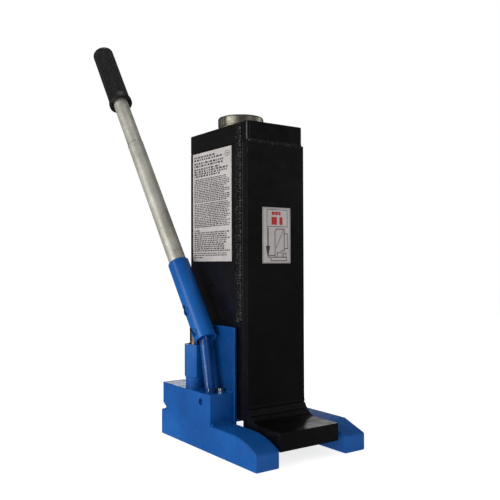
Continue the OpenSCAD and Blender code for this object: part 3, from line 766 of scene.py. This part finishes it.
def capacity_print():
    """Outline drawing of a jack, a down arrow and plain red blocks on the front label."""
    low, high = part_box("capacity_label")
    middle = (low + high) / 2
    middle.y = low.y
    half_w, half_h = (high.x - low.x) / 2 / MM, (high.z - low.z) / 2 / MM
    spot = dict(middle=middle, right=(1, 0, 0), up=(0, 0, 1), out=(0, -1, 0))
    lines = Sheet("capacity_lines", finish="label_ink", **spot)
    edge_w, edge_h = half_w - 1.2, half_h - 1.2
    lines.line([(-edge_w, -edge_h), (edge_w, -edge_h), (edge_w, edge_h), (-edge_w, edge_h),
                (-edge_w, -edge_h)], 0.35)
    box_top, box_low = half_h - 3.0, half_h - 27.0
    lines.line([(-17, box_low), (19, box_low), (19, box_top), (-17, box_top), (-17, box_low)], 0.8)
    # A jack's housing, side box, diagonal, base, two blocks on it and toe, with line widths
    for points, width in (
            ([(-3.0, -31), (-3.0, 6.0), (0, 9.0), (13.5, 9.0), (13.5, -22), (7.5, -22)], 1.1),
            ([(13.5, 2.5), (20.0, 2.5), (20.0, -18.5), (13.5, -18.5)], 1.0),
            ([(-1.0, -18.0), (11.5, 7.0)], 0.8),
            ([(-10.5, -36), (17.5, -36), (17.5, -31.0), (-10.5, -31.0), (-10.5, -36)], 1.1),
            ([(1.0, -31), (1.0, -24.5), (9.5, -24.5), (9.5, -31)], 1.0),
            ([(12.0, -31), (12.0, -25.5), (16.5, -25.5), (16.5, -31)], 1.0),
            ([(-13.0, -31.5), (-13.0, -28.5), (-3.0, -28.5)], 1.1)):
        lines.line(points, width)
    lines.finish_piece()
    arrow = Sheet("capacity_arrow", finish="label_ink", **spot)
    arrow.bar(-16.5, -15.5, -14.5, 11.5)
    arrow.shape([(-19.3, -15.0), (-15.5, -33.0), (-11.7, -15.0)])
    arrow.finish_piece()
    red = Sheet("capacity_rating", finish="label_red", **spot)
    for u0, u1 in ((-8.5, -3.6), (-2.6, 2.2), (3.2, 7.0)):
        red.bar(u0, box_top - 7.6, u1, box_top - 2.8)
    for u0, u1 in ((-9.0, 0.5), (5.0, 10.5)):
        red.bar(u0, box_top - 21.4, u1, box_top - 10.4)
    red.finish_piece()


finish_nodes()
tower_side_weld("left", -1, 3)
tower_side_weld("right", 1, 8)
cap_welds()
base_welds()
rubber_grip()
turned_head()
link_thread()
tube_crimp()
bent_cotters()
instruction_print()
capacity_print()


# ---------------------------------------------------------------- studio
def pale_floor():
    """Wide pale floor that glows a little, so the shadows on it stay soft and light."""
    bm = bmesh.new()
    bmesh.ops.create_circle(bm, cap_ends=True, segments=96, radius=4.0)
    mesh = bpy.data.meshes.new("stage")
    bm.to_mesh(mesh)
    bm.free()
    paper = Finish("stage_paper", Roughness=0.9, Specular_IOR_Level=0.0, Emission_Strength=0.80)
    greys = [(0.3, (0.60, 0.60, 0.60)), (0.7, (0.64, 0.64, 0.64))]
    paper.link("Base Color", paper.ramp(paper.noise(0.8), greys))
    paper.shader.inputs["Emission Color"].default_value = (1, 1, 1, 1)
    mesh.materials.append(paper.material)
    floor = bpy.data.objects.new("stage", mesh)
    bpy.context.scene.collection.objects.link(floor)
    floor.visible_glossy = False


def softbox(name, place, target, size, power):
    """Rectangular lamp of a size in metres, aimed at a target and unseen by the camera."""
    data = bpy.data.lights.new(name, "AREA")
    data.shape = "RECTANGLE"
    data.size, data.size_y = size
    data.energy = power
    lamp = bpy.data.objects.new(name, data)
    lamp.visible_camera = False
    lamp.location = place
    lamp.rotation_euler = (Vector(target) - Vector(place)).to_track_quat("-Z", "Y").to_euler()
    bpy.context.scene.collection.objects.link(lamp)


def studio():
    """Pale floor, soft boxes, and air that is white to the camera but dim in reflections."""
    pale_floor()
    middle = (0, 0, 0.22)
    softbox("key_left", (-2.0, 0.1, 0.75), middle, (0.9, 1.3), 20)
    softbox("left_strip", (-1.9, -0.75, 0.45), middle, (0.05, 1.0), 5)
    softbox("front_fill", (0.4, -2.3, 1.3), middle, (0.5, 0.9), 3)
    softbox("rear_strip", (1.35, 1.75, 0.50), (0, -0.1, 0.05), (1.2, 0.3), 2.6)
    softbox("right_glint", (2.2, -0.6, 0.9), middle, (0.35, 1.2), 5)
    softbox("top_box", (0.1, 0.6, 2.4), middle, (0.9, 0.9), 6)
    world = bpy.data.worlds.new("studio_air")
    world.use_nodes = True
    tree = world.node_tree
    tree.nodes.clear()
    output = tree.nodes.new("ShaderNodeOutputWorld")
    rays = tree.nodes.new("ShaderNodeLightPath")
    shown = None
    for strength, ray in ((0.30, None), (0.08, "Is Glossy Ray"), (1.0, "Is Camera Ray")):
        air = tree.nodes.new("ShaderNodeBackground")
        air.inputs["Color"].default_value = (1, 1, 1, 1)
        air.inputs["Strength"].default_value = strength
        if ray:
            mix = tree.nodes.new("ShaderNodeMixShader")
            tree.links.new(rays.outputs[ray], mix.inputs[0])
            tree.links.new(shown, mix.inputs[1])
            tree.links.new(air.outputs[0], mix.inputs[2])
            shown = mix.outputs[0]
        else:
            shown = air.outputs[0]
    tree.links.new(shown, output.inputs["Surface"])
    bpy.context.scene.world = world
    bpy.context.scene.view_settings.view_transform = "Standard"


def camera():
    """Camera at the viewing angle of the reference: front left, below mid height, near level."""
    place = (-0.5793, -0.8439, 0.2611)
    turn, pitch, roll = (math.radians(degrees) for degrees in (-35.23, 1.13, -0.17))
    forward = Vector((-math.sin(turn) * math.cos(pitch), math.cos(turn) * math.cos(pitch),
                      math.sin(pitch)))
    data = bpy.data.cameras.new("camera")
    data.sensor_width = 36
    data.lens = 48.16
    data.clip_start = 0.05
    lens = bpy.data.objects.new("camera", data)
    facing = forward.to_track_quat("-Z", "Y").to_matrix().to_4x4()
    lens.matrix_world = Matrix.Translation(place) @ facing @ Matrix.Rotation(roll, 4, "Z")
    bpy.context.scene.collection.objects.link(lens)
    bpy.context.scene.camera = lens


camera()
studio()

bpy.context.view_layer.update()
